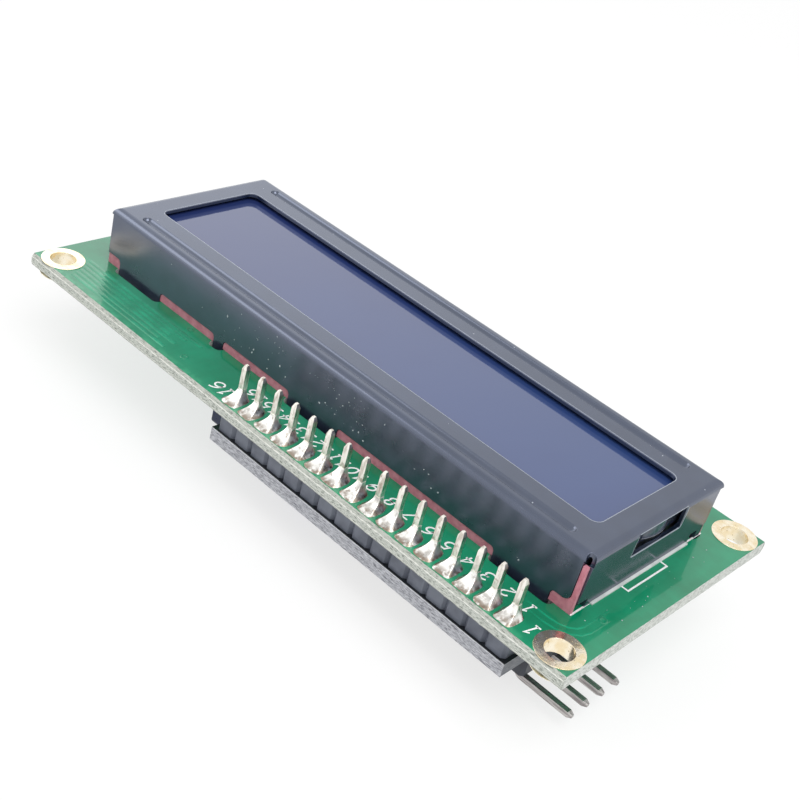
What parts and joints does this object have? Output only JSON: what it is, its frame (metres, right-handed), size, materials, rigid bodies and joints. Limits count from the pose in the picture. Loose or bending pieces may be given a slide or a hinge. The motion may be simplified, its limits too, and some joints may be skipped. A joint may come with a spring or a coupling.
{
  "type": "character lcd module",
  "caption": "Two-row character display: bezel, glass cell and backlight on a drilled board, with a serial adapter board soldered behind its pin header.",
  "frame": {"origin": "centre of the four mounting holes, on the display board's front face", "axes": "+X along the rows of characters from the pin 1 end, +Y to the header's edge, +Z out of the display"},
  "size_m": [0.08, 0.036, 0.0179],
  "materials": {
    "green_board": "glossy green solder mask",
    "gold_plating": "gold over copper",
    "black_paint": "semi-gloss black paint on folded sheet",
    "polariser": "glossy blue film",
    "cell_glass": "clear glass",
    "fill_resin": "cured resin",
    "pink_elastomer": "pink silicone",
    "white_film": "white film",
    "clear_acrylic": "clear moulded acrylic",
    "lamp_case": "white lamp case",
    "tinned_metal": "tinned pin metal",
    "solder": "bright solder",
    "black_resin": "black epoxy",
    "black_moulding": "black moulded plastic",
    "resistor_body": "black film on ceramic",
    "capacitor_body": "tan ceramic",
    "black_board": "black solder mask",
    "blue_moulding": "blue moulded plastic",
    "white_moulding": "white moulded plastic",
    "dark_blue_moulding": "dark blue moulded plastic"
  },
  "bodies": {
    "module": {"lcd_board": "green_board", "hole_plating": "gold_plating", "bezel": "black_paint", "front_polariser": "polariser", "front_glass": "cell_glass", "rear_glass": "cell_glass", "rear_polariser": "polariser", "fill_plug": "fill_resin", "elastomer_strip_near": "pink_elastomer", "elastomer_strip_far": "pink_elastomer", "diffuser_film": "white_film", "light_guide": "clear_acrylic", "reflector_film": "white_film", "backlight_lamp": "lamp_case", "backlight_leads": "tinned_metal", "controller_glob": "black_resin", "driver_glob": "black_resin", "lcd_resistors": "resistor_body", "lcd_capacitors": "capacitor_body", "header_spacer": "black_moulding", "header_pins": "tinned_metal", "lcd_board_solder": "solder", "adapter_board": "black_board", "adapter_solder": "solder", "expander_chip": "black_moulding", "expander_leads": "tinned_metal", "trimmer_body": "blue_moulding", "trimmer_leads": "tinned_metal", "transistor": "black_moulding", "transistor_leads": "tinned_metal", "power_lamp": "lamp_case", "adapter_resistors": "resistor_body", "adapter_capacitors": "capacitor_body", "side_header_block": "black_moulding", "side_header_pins": "tinned_metal", "jumper_block": "black_moulding", "jumper_pins": "tinned_metal", "jumper_cap": "dark_blue_moulding"},
    "contrast_rotor": {"trimmer_rotor": "white_moulding"}
  },
  "joints": [
    {"name": "contrast_turn", "type": "hinge", "parent": "module", "child": "contrast_rotor", "pos_m": [-0.00195, 0.0066, -0.01], "axis": [0, 0, -1], "range_deg": [-135, 135]}
  ]
}
